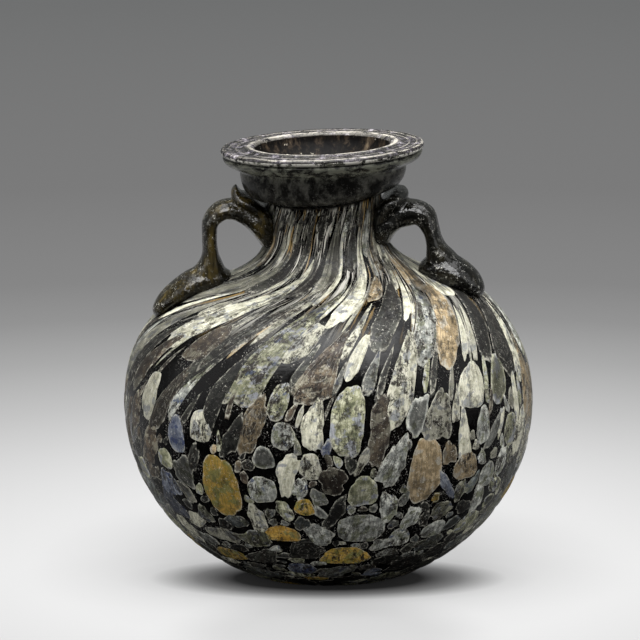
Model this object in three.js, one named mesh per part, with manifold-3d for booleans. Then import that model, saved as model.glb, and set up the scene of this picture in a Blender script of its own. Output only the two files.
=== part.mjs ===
// Small globular oil flask of dark blown glass, with a folded disc rim over a collar,
// two handles laid on as trails, and opaque glass chips pressed into the wall.
// Millimetres, +Z up, origin in the middle of the base. Azimuth 0 is the front (-Y),
// and azimuths grow towards the right side (+X).
import * as THREE from 'three';
import { mergeVertices } from 'three/addons/utils/BufferGeometryUtils.js';
import Module from 'manifold-3d';

// The blown bubble
const BODY_DIAMETER = 80;
const BELLY_HEIGHT = 33.5;
const BASE_DIAMETER = 33.6;
const BELLY_CURVE_LENGTH = 11.7;
const SHOULDER_RISE = 23.5;
const SHOULDER_DIAMETER = 48.4;
const SHOULDER_SLOPE = 18.5;
const SHOULDER_CURVE_LENGTH = 9.8;
const NECK_RISE = 34;
const NECK_DIAMETER = 23.1;
const NECK_CURVE_LENGTH = 7.2;
const NECK_FLARE_LENGTH = 5.3;
const NECK_LENGTH = 9.8;
const WALL = 2.2;
const BASE_THICKNESS = 3.6;

// The folded rim: collar below, and a disc whose lower layer tapers in to the collar
const COLLAR_DIAMETER = 32.4;
const COLLAR_HEIGHT = 7;
const COLLAR_ROUND = 2.4;
const COLLAR_DROOP = 3;
const COLLAR_DROOP_AZIMUTH = -25;
const RIM_DIAMETER = 39.5;
const RIM_LAYER = 1.7;
const RIM_UNDER_LAYER = 2.4;
const RIM_FOLD_INSET = 0.35;
const RIM_FOLD_GROOVE = 0.5;
const LIP_DIAMETER = 30.3;
const LIP_RISE = 0.5;
const MOUTH_DIAMETER = 26.4;
const UNDER_COLLAR_DIAMETER = 22;
const COLLAR_BOTTOM = BELLY_HEIGHT + NECK_RISE + NECK_LENGTH;
const RIM_TOP = COLLAR_BOTTOM + COLLAR_HEIGHT;
const COLLAR_TOP = RIM_TOP - RIM_LAYER - RIM_UNDER_LAYER;

// The upper part leans to the left, as it was left by the jacks
const LEAN = 2.3;
const LEAN_START = BELLY_HEIGHT + 12.5;
const LEAN_END = BELLY_HEIGHT + SHOULDER_RISE + 3;

// Chips of opaque glass, each in a seat in the wall
const CHIP_THICKNESS = 0.8;
const CHIP_PROUD = 0.05;
const CHIP_CROWN = 0.12;
const CHIP_GAP = 0.1;
const CHIP_SQUARENESS = 2.4;
const CHIP_TAPER = 0.18;
const LONG_CHIP = 7.5;
const NARROW_CHIP = 7;
// The bubble was turned while it was drawn out, so the chips' lines twist towards the neck
const TWIST_START = 0.56;
const TWIST = 55;

// Handles
const HANDLE_GAP = 0.15;
const PAD_SINK = 1.2;
const LEFT_PAD_HEIGHT = 4.3;
const RIGHT_PAD_HEIGHT = 5;
const PAD_BREADTH = 11.8;
const STRAP_THICKNESS = 3.1;
const STRAP_BREADTH = 8.3;
const STRAP_SQUARENESS = 2.4;
const LEFT_REACH = 24.2;
const RIGHT_REACH = 22.8;
const LEFT_CROWN_DROP = 4.05;
const RIGHT_CROWN_DROP = 6.55;
const WRAP_THICKNESS = 3.6;
const WRAP_BREADTH = 12;
const WRAP_FOOT_DROP = 2.9;
const TRAIL_SIDES = 12;

// Facets
const AROUND = 44;
const CURVE_STEPS = 11;

const GLASSES = {
  dark: { color: 0x1d1613, roughness: 0.12 },
  handle: { color: 0x2a2716, roughness: 0.12 },
  tan: { color: 0x9a7d55, roughness: 0.45 },
  cream: { color: 0xb9b8a2, roughness: 0.45 },
  grey: { color: 0x85877f, roughness: 0.5 },
  green: { color: 0x8e9378, roughness: 0.5 },
  ochre: { color: 0xb08a2e, roughness: 0.4 },
  amber: { color: 0xa9742a, roughness: 0.4 },
  brown: { color: 0x5a4433, roughness: 0.6 },
  blue: { color: 0x55647c, roughness: 0.45 },
};

const wasm = await Module();
wasm.setup();

const radians = THREE.MathUtils.degToRad;

// Outer line of the bubble, from the edge of the base up to the neck, as radius and height
function bubbleLine() {
  const radius = BODY_DIAMETER / 2;
  const points = [];
  const start = Math.acos(BASE_DIAMETER / BODY_DIAMETER);
  const drop = BELLY_HEIGHT / Math.sin(start);
  for (let i = 0; i < CURVE_STEPS; i += 1) {
    const angle = start * (1 - i / CURVE_STEPS);
    points.push(new THREE.Vector2(radius * Math.cos(angle), BELLY_HEIGHT - drop * Math.sin(angle)));
  }
  const slope = new THREE.Vector2(-Math.cos(radians(SHOULDER_SLOPE)), Math.sin(radians(SHOULDER_SLOPE)));
  const belly = new THREE.Vector2(radius, BELLY_HEIGHT);
  const shoulder = new THREE.Vector2(SHOULDER_DIAMETER / 2, BELLY_HEIGHT + SHOULDER_RISE);
  const neck = new THREE.Vector2(NECK_DIAMETER / 2, BELLY_HEIGHT + NECK_RISE);
  const upper = new THREE.CubicBezierCurve(
    belly,
    new THREE.Vector2(radius, BELLY_HEIGHT + BELLY_CURVE_LENGTH),
    shoulder.clone().addScaledVector(slope, -SHOULDER_CURVE_LENGTH),
    shoulder,
  );
  const sweep = new THREE.CubicBezierCurve(
    shoulder,
    shoulder.clone().addScaledVector(slope, NECK_CURVE_LENGTH),
    new THREE.Vector2(neck.x, neck.y - NECK_FLARE_LENGTH),
    neck,
  );
  points.push(...upper.getPoints(CURVE_STEPS).slice(0, -1));
  points.push(...sweep.getPoints(Math.ceil(CURVE_STEPS / 2) + 1));
  return points;
}

// Points of a quarter circle or ellipse between two points, bulging towards the corner
function roundCorner(from, corner, to, steps) {
  return new THREE.QuadraticBezierCurve(from, corner, to).getPoints(steps);
}

// The folded rim, from under the collar, out round the disc and in to the mouth
function rimLine() {
  const collar = COLLAR_DIAMETER / 2;
  const disc = RIM_DIAMETER / 2;
  const fold = disc - RIM_FOLD_INSET;
  const under = RIM_TOP - RIM_LAYER;
  const lip = LIP_DIAMETER / 2;
  const mouth = MOUTH_DIAMETER / 2;
  const line = [new THREE.Vector2(UNDER_COLLAR_DIAMETER / 2, COLLAR_BOTTOM - COLLAR_ROUND / 2)];
  line.push(...roundCorner(
    new THREE.Vector2(collar - COLLAR_ROUND, COLLAR_BOTTOM),
    new THREE.Vector2(collar, COLLAR_BOTTOM),
    new THREE.Vector2(collar, COLLAR_BOTTOM + COLLAR_ROUND),
    3,
  ));
  line.push(...roundCorner(
    new THREE.Vector2(collar, COLLAR_TOP),
    new THREE.Vector2(fold, under - RIM_UNDER_LAYER * 0.75),
    new THREE.Vector2(fold, under),
    4,
  ));
  line.push(new THREE.Vector2(fold - RIM_FOLD_GROOVE, under + RIM_FOLD_GROOVE / 3));
  line.push(...roundCorner(
    new THREE.Vector2(disc, RIM_TOP - RIM_LAYER / 2),
    new THREE.Vector2(disc, RIM_TOP),
    new THREE.Vector2(disc - RIM_LAYER / 2, RIM_TOP),
    3,
  ));
  line.push(new THREE.Vector2(lip + LIP_RISE, RIM_TOP - LIP_RISE / 2));
  line.push(new THREE.Vector2(lip, RIM_TOP));
  line.push(new THREE.Vector2(mouth + LIP_RISE, RIM_TOP));
  line.push(new THREE.Vector2(mouth, RIM_TOP - LIP_RISE));
  return line;
}

// Unit normal of a line at a point, facing away from the axis
function lineNormal(line, i) {
  const before = line[Math.max(i - 1, 0)];
  const after = line[Math.min(i + 1, line.length - 1)];
  const along = after.clone().sub(before).normalize();
  return new THREE.Vector2(along.y, -along.x);
}

const bubble = bubbleLine();
const rim = rimLine();

// Inside of the vessel: the throat under the mouth, then the bubble's line set in by the wall
function insideLine() {
  const bore = UNDER_COLLAR_DIAMETER / 2 - WALL;
  const line = new THREE.QuadraticBezierCurve(
    rim[rim.length - 1],
    new THREE.Vector2(MOUTH_DIAMETER / 2 - LIP_RISE, COLLAR_BOTTOM + COLLAR_ROUND),
    new THREE.Vector2(bore, COLLAR_BOTTOM - COLLAR_ROUND),
  ).getPoints(4).slice(1);
  for (let i = bubble.length - 1; i > 0; i -= 2) {
    const point = bubble[i].clone().addScaledVector(lineNormal(bubble, i), -WALL);
    if (point.y > BASE_THICKNESS + WALL) {
      line.push(point);
    }
  }
  const last = line[line.length - 1];
  line.push(new THREE.Vector2(last.x * 0.8, BASE_THICKNESS + WALL / 4));
  line.push(new THREE.Vector2(0, BASE_THICKNESS));
  return line;
}

function turned(line) {
  const geometry = new THREE.LatheGeometry(line, AROUND);
  geometry.rotateX(Math.PI / 2);
  return geometry;
}

function toSolid(geometry) {
  const bare = geometry.clone();
  bare.deleteAttribute('normal');
  bare.deleteAttribute('uv');
  const merged = mergeVertices(bare, 1e-4);
  const vertProperties = new Float32Array(merged.attributes.position.array);
  const triVerts = new Uint32Array(merged.index.array);
  return new wasm.Manifold(new wasm.Mesh({ numProp: 3, vertProperties, triVerts }));
}

function toGeometry(solid) {
  const mesh = solid.getMesh();
  const geometry = new THREE.BufferGeometry();
  geometry.setAttribute('position', new THREE.BufferAttribute(new Float32Array(mesh.vertProperties), 3));
  geometry.setIndex(new THREE.BufferAttribute(new Uint32Array(mesh.triVerts), 1));
  return geometry;
}

// The bubble's outer line with the distance along it, measured from the middle of the base
const meridian = bubble.map((point) => ({ point, along: 0 }));
meridian[0].along = bubble[0].x;
for (let i = 1; i < meridian.length; i += 1) {
  meridian[i].along = meridian[i - 1].along + bubble[i].distanceTo(bubble[i - 1]);
}
const meridianLength = meridian[meridian.length - 1].along;

// Point and normal of the outer line at a distance along it
function onMeridian(along) {
  let i = 1;
  while (i < meridian.length - 1 && meridian[i].along < along) {
    i += 1;
  }
  const below = meridian[i - 1];
  const above = meridian[i];
  const share = (along - below.along) / (above.along - below.along);
  const point = below.point.clone().lerp(above.point, share);
  const normal = lineNormal(bubble, i - 1).lerp(lineNormal(bubble, i), share).normalize();
  return { point, normal };
}

function polar(radius, azimuth, height) {
  const angle = radians(azimuth);
  return new THREE.Vector3(radius * Math.sin(angle), -radius * Math.cos(angle), height);
}

// How far the glass has turned at a share of the meridian, in degrees
function twistAt(share) {
  const drawn = Math.max(share - TWIST_START, 0) / (1 - TWIST_START);
  return TWIST * drawn * drawn;
}

// A closed solid from two like faces of points: the outer one and the inner one below it.
// Each face is a strip of rows, and each row runs from one side of the chip to the other.
function slab(outer, inner, rows, across) {
  const points = [...outer, ...inner];
  const offset = outer.length;
  const index = [];
  const at = (row, column) => 1 + row * across + column;
  const tip = 1 + rows * across;
  const face = [];
  for (let c = 0; c < across - 1; c += 1) {
    face.push([0, at(0, c + 1), at(0, c)]);
    for (let r = 0; r < rows - 1; r += 1) {
      face.push([at(r, c), at(r, c + 1), at(r + 1, c + 1)], [at(r, c), at(r + 1, c + 1), at(r + 1, c)]);
    }
    face.push([at(rows - 1, c), at(rows - 1, c + 1), tip]);
  }
  for (const [a, b, c] of face) {
    index.push(a, b, c, offset + a, offset + c, offset + b);
  }
  const edge = [0];
  for (let r = 0; r < rows; r += 1) {
    edge.push(at(r, across - 1));
  }
  edge.push(tip);
  for (let r = rows - 1; r >= 0; r -= 1) {
    edge.push(at(r, 0));
  }
  edge.forEach((a, i) => {
    const b = edge[(i + 1) % edge.length];
    index.push(a, offset + a, offset + b, a, offset + b, b);
  });
  const geometry = new THREE.BufferGeometry();
  const flat = points.flatMap((p) => p.toArray());
  geometry.setAttribute('position', new THREE.Float32BufferAttribute(flat, 3));
  geometry.setIndex(index);
  return geometry;
}

// One chip, or the tool that cuts its seat when it is grown by the gap
function chipGeometry(chip, grow, proud) {
  const middle = chip.up / 100;
  const long = (chip.tall / 100) * meridianLength;
  const wide = radians(chip.wide) * onMeridian(middle * meridianLength).point.x;
  const rows = long > LONG_CHIP ? 5 : 3;
  const across = wide > NARROW_CHIP ? 3 : 2;
  const halfLong = long / 2 + grow;
  const outer = [];
  const inner = [];
  const place = (along, side, crown) => {
    const { point, normal } = onMeridian(along);
    const azimuth = chip.around + twistAt(along / meridianLength) - twistAt(middle)
      + THREE.MathUtils.radToDeg(side / point.x);
    const out = point.clone().addScaledVector(normal, proud + crown);
    const into = point.clone().addScaledVector(normal, -CHIP_THICKNESS - grow);
    outer.push(polar(out.x, azimuth, out.y));
    inner.push(polar(into.x, azimuth, into.y));
  };
  place(middle * meridianLength - halfLong, 0, 0);
  for (let r = 0; r < rows; r += 1) {
    const u = -Math.cos((Math.PI * (r + 1)) / (rows + 1));
    const fullness = (1 - Math.abs(u) ** CHIP_SQUARENESS) ** (1 / CHIP_SQUARENESS);
    const half = (wide / 2) * fullness * (1 - CHIP_TAPER * u) + grow;
    for (let c = 0; c < across; c += 1) {
      const v = (2 * c) / (across - 1) - 1;
      place(middle * meridianLength + u * halfLong, v * half, v === 0 ? CHIP_CROWN : 0);
    }
  }
  place(middle * meridianLength + halfLong, 0, 0);
  return slab(outer, inner, rows, across);
}

// Chips of the front, placed as they lie: share up the meridian, azimuth, and extents
// along the meridian (percent of it) and around (degrees)
const frontChips = [
  ['tan', 77.5, 47, 20, 10.5],
  ['cream', 66.9, 22, 17.5, 8],
  ['green', 59.9, 5, 13, 9.5],
  ['cream', 71.4, 9, 9, 4.5],
  ['cream', 74.3, -8, 8.5, 9],
  ['green', 63.1, -14, 6.8, 6],
  ['grey', 57.1, -12.5, 5.2, 6.5],
  ['cream', 51.7, -5, 5, 6.2],
  ['grey', 52.9, -18, 4.4, 6],
  ['ochre', 46.6, -32, 12.2, 12],
  ['cream', 57.3, -37.5, 6, 7.5],
  ['blue', 55, -46.5, 7, 6.5],
  ['grey', 46.8, -19, 5.6, 8.5],
  ['ochre', 43.6, -7, 3.7, 5.8],
  ['amber', 37.1, -15, 3.9, 12.8],
  ['ochre', 31.1, 6, 5.4, 18.5],
  ['ochre', 28.8, -41, 4, 15],
  ['grey', 38.7, 10, 7, 14.5],
  ['green', 46.8, 9.7, 6, 8.6],
  ['tan', 50, 27.6, 12.8, 10],
  ['cream', 63.8, 44.5, 8.6, 10],
  ['green', 64, 57, 9, 7.7],
  ['grey', 56.5, 47.5, 7, 5.4],
  ['green', 54.2, 61, 6.4, 7],
  ['tan', 49.6, 41.5, 5.6, 8.6],
  ['grey', 46.8, 51.5, 5, 7],
  ['grey', 36.6, 36, 4.4, 9],
  ['green', 36.3, 52, 5.6, 11],
  ['grey', 35.6, 23.4, 5, 7.8],
  ['blue', 26.3, -11, 4.2, 13],
  ['green', 49.8, -52.5, 4, 6.4],
  ['cream', 60.6, -60, 8.8, 8],
  ['brown', 72.4, -42, 8.6, 12],
  ['cream', 80.5, -50, 6, 12],
  ['tan', 87.6, 27, 7.6, 8],
];

// Chips of the sides and back, in belts: rounder low down, longer and narrower higher up
const belts = [
  { up: 33, tall: 5, wide: 15, first: 76, step: 34, count: 6, glasses: ['green', 'ochre', 'grey'] },
  { up: 46, tall: 7, wide: 11, first: 84, step: 38, count: 5, glasses: ['grey', 'tan', 'cream'] },
  { up: 62, tall: 11, wide: 9, first: 100, step: 41, count: 4, glasses: ['cream', 'green', 'tan'] },
];

function allChips() {
  const chips = frontChips.map(([glass, up, around, tall, wide]) => ({ glass, up, around, tall, wide }));
  for (const belt of belts) {
    for (let i = 0; i < belt.count; i += 1) {
      const glass = belt.glasses[i % belt.glasses.length];
      chips.push({ ...belt, glass, around: belt.first + i * belt.step });
    }
  }
  return chips;
}

// A closed tube of rounded sections along a line in a handle's own plane. Each station has
// a reach from the axis, a height, a half depth in the plane and a half breadth, which is
// measured round the axis, so that a broad section lies round the neck or the shoulder.
function trail(stations, steps, squareness) {
  const line = new THREE.CatmullRomCurve3(stations.map((s) => new THREE.Vector3(s.reach, 0, s.height)));
  const sizes = new THREE.CatmullRomCurve3(stations.map((s) => new THREE.Vector3(s.depth, s.breadth, 0)));
  const squared = (value) => Math.sign(value) * Math.abs(value) ** (2 / squareness);
  const points = [];
  for (let i = 0; i <= steps; i += 1) {
    const t = i / steps;
    const centre = line.getPoint(t);
    const along = line.getTangent(t);
    const size = sizes.getPoint(t);
    for (let k = 0; k < TRAIL_SIDES; k += 1) {
      const angle = (2 * Math.PI * k) / TRAIL_SIDES;
      const depth = size.x * squared(Math.cos(angle));
      const reach = centre.x + along.z * depth;
      const turn = (size.y * squared(Math.sin(angle))) / centre.x;
      points.push(reach * Math.cos(turn), reach * Math.sin(turn), centre.z - along.x * depth);
    }
  }
  const start = points.length / 3;
  for (const t of [0, 1]) {
    const end = line.getPoint(t);
    points.push(end.x, 0, end.z);
  }
  const index = [];
  for (let i = 0; i < steps; i += 1) {
    for (let k = 0; k < TRAIL_SIDES; k += 1) {
      const a = i * TRAIL_SIDES + k;
      const b = i * TRAIL_SIDES + ((k + 1) % TRAIL_SIDES);
      index.push(a, b, b + TRAIL_SIDES, a, b + TRAIL_SIDES, a + TRAIL_SIDES);
    }
  }
  for (let k = 0; k < TRAIL_SIDES; k += 1) {
    const next = (k + 1) % TRAIL_SIDES;
    index.push(start, next, k);
    index.push(start + 1, steps * TRAIL_SIDES + k, steps * TRAIL_SIDES + next);
  }
  const geometry = new THREE.BufferGeometry();
  geometry.setAttribute('position', new THREE.Float32BufferAttribute(points, 3));
  geometry.setIndex(index);
  return geometry;
}

// Outer form of the whole vessel without its hollow, grown by a gap: what the handles are laid on
function outerForm(gap) {
  const line = [...bubble, ...rim];
  const grown = line.map((point, i) => point.clone().addScaledVector(lineNormal(line, i), gap));
  grown[0].y = -gap;
  return toSolid(turned([new THREE.Vector2(0, -gap), ...grown, new THREE.Vector2(0, RIM_TOP)]));
}

// Pad of a handle: the blob of glass on the shoulder, drawn to a toe downwards and a heel towards the neck
const PAD_FORM = [
  { share: 0, rise: 0.1, breadth: 0.4 },
  { share: 0.1, rise: 0.5, breadth: 0.75 },
  { share: 0.3, rise: 0.8, breadth: 1 },
  { share: 0.6, rise: 1, breadth: 0.95 },
  { share: 0.84, rise: 0.75, breadth: 0.8 },
  { share: 1, rise: 0.2, breadth: 0.5 },
];

function pad(handle) {
  const stations = PAD_FORM.map((form) => {
    const share = handle.toe + (handle.heel - handle.toe) * form.share;
    const { point, normal } = onMeridian((share / 100) * meridianLength);
    const rise = handle.padHeight * form.rise;
    const centre = point.addScaledVector(normal, (rise - PAD_SINK) / 2);
    return {
      reach: centre.x,
      height: centre.y,
      depth: (rise + PAD_SINK) / 2,
      breadth: (PAD_BREADTH / 2) * form.breadth,
    };
  });
  return trail(stations, 10, 2);
}

// Straps: up out of the pad, over to the neck under the collar, and down and round the neck.
// Each row is a share of the way out from the neck to the strap's reach, a share of the way
// up from the foot to the crown, and the half depth and half breadth as shares of the
// strap's own thickness and breadth.
const LEFT_STRAP = [
  [1.09, -0.05, 1.68, 0.6],
  [1.05, 0.09, 1.39, 0.58],
  [1.01, 0.24, 0.9, 0.54],
  [1, 0.4, 0.53, 0.51],
  [1, 0.61, 0.48, 0.49],
  [0.96, 0.83, 0.56, 0.49],
  [0.76, 1, 0.81, 0.51],
  [0.49, 1, 0.88, 0.53],
  [0.25, 0.87, 0.87, 0.65],
  [0.08, 0.65, 0.61, 0.75],
  [0.03, 0.48, 0.29, 0.6],
];
const RIGHT_STRAP = [
  [1.17, -0.06, 1.68, 0.63],
  [1.16, 0.08, 1.48, 0.6],
  [1.12, 0.26, 1.06, 0.55],
  [1.05, 0.42, 0.68, 0.52],
  [1, 0.58, 0.48, 0.49],
  [0.94, 0.75, 0.52, 0.49],
  [0.8, 0.94, 0.78, 0.49],
  [0.56, 1, 0.93, 0.52],
  [0.31, 0.96, 0.92, 0.65],
  [0.12, 0.78, 0.61, 0.8],
  [0.03, 0.57, 0.29, 0.65],
];

function strap(handle) {
  const foot = onMeridian((handle.foot / 100) * meridianLength).point;
  const neck = NECK_DIAMETER / 2;
  const span = handle.reach - STRAP_THICKNESS / 2 - neck;
  const rise = COLLAR_BOTTOM - handle.drop - foot.y;
  const stations = handle.strap.map(([out, up, depth, breadth]) => ({
    reach: neck + span * out,
    height: foot.y + rise * up,
    depth: STRAP_THICKNESS * depth,
    breadth: STRAP_BREADTH * breadth,
  }));
  return trail(stations, 22, STRAP_SQUARENESS);
}

// The end of the trail: pressed round the neck as a broad pad, run up to the collar and
// folded out round its lower edge. Each row is a share of the way up from the pad's foot to
// the collar's lower edge, a share of the way out from the neck's face to the collar's, and
// the half depth and half breadth as shares of the wrap's own thickness and breadth.
const LEFT_WRAP = [
  [0, -0.03, 0.2, 0.3],
  [0.2, 0.1, 0.42, 0.47],
  [0.45, 0.16, 0.52, 0.52],
  [0.66, 0.27, 0.52, 0.5],
  [0.82, 0.61, 0.45, 0.46],
  [0.94, 1.1, 0.35, 0.36],
  [1.07, 1.3, 0.18, 0.18],
];
const RIGHT_WRAP = [
  [-0.05, -0.03, 0.2, 0.32],
  [0.2, 0.12, 0.45, 0.5],
  [0.42, 0.18, 0.55, 0.55],
  [0.63, 0.35, 0.6, 0.6],
  [0.77, 0.68, 0.53, 0.62],
  [0.83, 0.86, 0.33, 0.55],
  [0.87, 0.92, 0.14, 0.4],
];

function wrap(handle) {
  const neck = NECK_DIAMETER / 2;
  const foot = BELLY_HEIGHT + NECK_RISE - WRAP_FOOT_DROP;
  const stations = handle.wrap.map(([up, out, depth, breadth]) => ({
    reach: neck + (COLLAR_DIAMETER / 2 - neck) * out,
    height: foot + (COLLAR_BOTTOM - foot) * up,
    depth: WRAP_THICKNESS * depth,
    breadth: WRAP_BREADTH * breadth,
  }));
  return trail(stations, 9, STRAP_SQUARENESS);
}

// Toe, heel and foot are shares up the meridian, in percent
const handles = [
  {
    name: 'handle_left', azimuth: -88, toe: 73.2, heel: 89, foot: 84.4, strap: LEFT_STRAP, wrap: LEFT_WRAP,
    padHeight: LEFT_PAD_HEIGHT, reach: LEFT_REACH, drop: LEFT_CROWN_DROP,
  },
  {
    name: 'handle_right', azimuth: 82, toe: 78, heel: 89.5, foot: 85, strap: RIGHT_STRAP, wrap: RIGHT_WRAP,
    padHeight: RIGHT_PAD_HEIGHT, reach: RIGHT_REACH, drop: RIGHT_CROWN_DROP,
  },
];

// What working the hot glass did to the whole piece: the collar's lower edge sags to one side,
// and the shoulder, neck and rim lean over
function work(geometry) {
  const middle = (LEAN_START + LEAN_END) / 2;
  const position = geometry.attributes.position;
  const point = new THREE.Vector3();
  for (let i = 0; i < position.count; i += 1) {
    point.fromBufferAttribute(position, i);
    const around = Math.atan2(point.x, -point.y) - radians(COLLAR_DROOP_AZIMUTH);
    const below = THREE.MathUtils.smoothstep(point.z, BELLY_HEIGHT + NECK_RISE, COLLAR_BOTTOM);
    const above = 1 - THREE.MathUtils.smoothstep(point.z, COLLAR_BOTTOM, COLLAR_TOP);
    point.z -= COLLAR_DROOP * 0.5 * (1 + Math.cos(around)) * below * above;
    const angle = -radians(LEAN) * THREE.MathUtils.smoothstep(point.z, LEAN_START, LEAN_END);
    const height = point.z - middle;
    position.setXYZ(
      i,
      point.x * Math.cos(angle) + height * Math.sin(angle),
      point.y,
      middle - point.x * Math.sin(angle) + height * Math.cos(angle),
    );
  }
  geometry.computeVertexNormals();
  return geometry;
}

const flask = new THREE.Group();

function addPiece(name, solid, glass) {
  const material = new THREE.MeshStandardMaterial({ ...GLASSES[glass], metalness: 0 });
  const mesh = new THREE.Mesh(work(toGeometry(solid)), material);
  mesh.name = name;
  flask.add(mesh);
}

const shell = [new THREE.Vector2(0, 0), ...bubble, ...rim, ...insideLine()];
let body = toSolid(turned(shell));
const counts = {};
for (const chip of allChips()) {
  const seat = toSolid(chipGeometry(chip, CHIP_GAP, CHIP_THICKNESS));
  body = body.subtract(seat);
  counts[chip.glass] = (counts[chip.glass] ?? 0) + 1;
  const solid = toSolid(chipGeometry(chip, 0, CHIP_PROUD));
  addPiece(`${chip.glass}_chip_${counts[chip.glass]}`, solid, chip.glass);
}
addPiece('body', body, 'dark');

const seatForm = outerForm(HANDLE_GAP);
for (const handle of handles) {
  const laid = toSolid(pad(handle)).add(toSolid(strap(handle))).add(toSolid(wrap(handle)));
  const turnedTo = laid.rotate([0, 0, handle.azimuth - 90]);
  addPiece(handle.name, turnedTo.subtract(seatForm), 'handle');
}

export default flask;
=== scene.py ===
"""A small dark glass oil flask with opaque chips in its wall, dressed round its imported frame."""
import math

import bpy
import numpy as np
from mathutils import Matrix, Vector


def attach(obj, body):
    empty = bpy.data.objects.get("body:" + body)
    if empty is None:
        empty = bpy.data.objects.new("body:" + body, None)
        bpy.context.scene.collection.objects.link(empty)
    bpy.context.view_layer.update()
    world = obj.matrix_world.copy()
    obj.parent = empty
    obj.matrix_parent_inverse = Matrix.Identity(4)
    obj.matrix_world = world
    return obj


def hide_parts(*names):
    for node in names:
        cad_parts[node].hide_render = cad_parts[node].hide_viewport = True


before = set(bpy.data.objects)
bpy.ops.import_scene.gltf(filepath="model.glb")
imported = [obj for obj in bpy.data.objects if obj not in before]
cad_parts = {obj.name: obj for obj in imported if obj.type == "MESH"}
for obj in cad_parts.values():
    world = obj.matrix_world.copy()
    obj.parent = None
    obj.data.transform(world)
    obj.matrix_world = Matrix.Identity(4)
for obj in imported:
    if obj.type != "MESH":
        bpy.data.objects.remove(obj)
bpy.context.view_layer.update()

# The body: one bubble of dark glass, blown from a gather that was rolled in chips of other
# glass, then turned and drawn out at the neck. Its wall is smooth, a little uneven, and
# hollow up to the folded rim. Lengths here are millimetres, like the frame's drawing.
MM = 0.001
BODY_RADIUS = 40.0
BELLY_HEIGHT = 33.5
BASE_RADIUS = 16.8
BASE_ROUNDING = 1.6
BELLY_CURVE = 11.7
SHOULDER_RADIUS = 24.2
SHOULDER_RISE = 23.5
SHOULDER_SLOPE = math.radians(18.5)
SHOULDER_CURVE = 9.8
NECK_RADIUS = 11.55
NECK_RISE = 34.0
NECK_CURVE = 7.2
NECK_FLARE = 5.3
NECK_LENGTH = 9.8
WALL = 2.2
BASE_THICKNESS = 3.6
SEGMENTS = 256


def bezier(a, b, c, d, steps):
    t = np.linspace(0, 1, steps)[:, None]
    a, b, c, d = (np.array(p, float) for p in (a, b, c, d))
    return (1 - t) ** 3 * a + 3 * (1 - t) ** 2 * t * b + 3 * (1 - t) * t ** 2 * c + t ** 3 * d


def bubble_line():
    """Radius and height of the outer face, from the edge of the base to the neck's waist."""
    start = math.acos(BASE_RADIUS / BODY_RADIUS)
    drop = BELLY_HEIGHT / math.sin(start)
    angle = np.linspace(start, 0, 70)[:, None]
    lower = np.hstack([BODY_RADIUS * np.cos(angle), BELLY_HEIGHT - drop * np.sin(angle)])
    slope = np.array([-math.cos(SHOULDER_SLOPE), math.sin(SHOULDER_SLOPE)])
    shoulder = np.array([SHOULDER_RADIUS, BELLY_HEIGHT + SHOULDER_RISE])
    waist = np.array([NECK_RADIUS, BELLY_HEIGHT + NECK_RISE])
    upper = bezier((BODY_RADIUS, BELLY_HEIGHT), (BODY_RADIUS, BELLY_HEIGHT + BELLY_CURVE),
                   shoulder - slope * SHOULDER_CURVE, shoulder, 60)
    sweep = bezier(shoulder, shoulder + slope * NECK_CURVE, waist - (0, NECK_FLARE), waist, 44)
    return np.vstack([lower, upper[1:], sweep[1:]])


def line_normals(line):
    """Unit normals of a line of radius and height, facing away from the glass's axis."""
    along = np.gradient(line, axis=0)
    along /= np.linalg.norm(along, axis=1)[:, None]
    return np.stack([along[:, 1], -along[:, 0]], axis=1)


bubble = bubble_line()
bubble_normals = line_normals(bubble)
bubble_along = bubble[0, 0] + np.r_[0, np.cumsum(np.linalg.norm(np.diff(bubble, axis=0), axis=1))]
meridian_length = bubble_along[-1]

# The chips' lines twist towards the neck, because the bubble was turned as it was drawn out.
# On the neck itself they run straighter, because the jacks pulled it.
TWIST_START = 0.56
TWIST = 55.0
NECK_TURN = 0.82
NECK_TWIST = 50.0


def twist_at(along):
    """Degrees that the glass has turned at a distance up the meridian."""
    turned = np.clip(np.asarray(along) / meridian_length - TWIST_START, 0, None) / (1 - TWIST_START)
    drawn_out = np.minimum(turned, NECK_TURN)
    return TWIST * drawn_out * drawn_out + NECK_TWIST * (turned - drawn_out)


# On the left shoulder the drawn lines sweep over further, as the photograph shows
SWEEP = 30.0
SWEEP_AZIMUTH = -55.0
SWEEP_SPREAD = 42.0
SWEEP_FROM = 0.495
SWEEP_OVER = 0.45


def swept_at(azimuth, along):
    """Degrees of extra turn of what has no piece in the frame: threads and small chips."""
    aside = (np.asarray(azimuth) - SWEEP_AZIMUTH + 180) % 360 - 180
    risen = np.clip((np.asarray(along) / meridian_length - SWEEP_FROM) / SWEEP_OVER, 0, 1)
    return SWEEP * risen * np.exp(-(aside / SWEEP_SPREAD) ** 2)


# The neck, shoulder and rim lean a little to the left, and the collar's edge sags at the front
LEAN = math.radians(2.3)
LEAN_FROM = BELLY_HEIGHT + 12.5
LEAN_TO = BELLY_HEIGHT + SHOULDER_RISE + 3
COLLAR_BOTTOM = BELLY_HEIGHT + NECK_RISE + NECK_LENGTH
COLLAR_HEIGHT = 7.0
RIM_TOP = COLLAR_BOTTOM + COLLAR_HEIGHT
RIM_LAYER = 1.7
RIM_UNDER_LAYER = 2.4
COLLAR_TOP = RIM_TOP - RIM_LAYER - RIM_UNDER_LAYER
COLLAR_DROOP = 3.0
DROOP_AZIMUTH = math.radians(-25)


def smoothstep(value, low, high):
    t = np.clip((value - low) / (high - low), 0, 1)
    return t * t * (3 - 2 * t)


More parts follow.
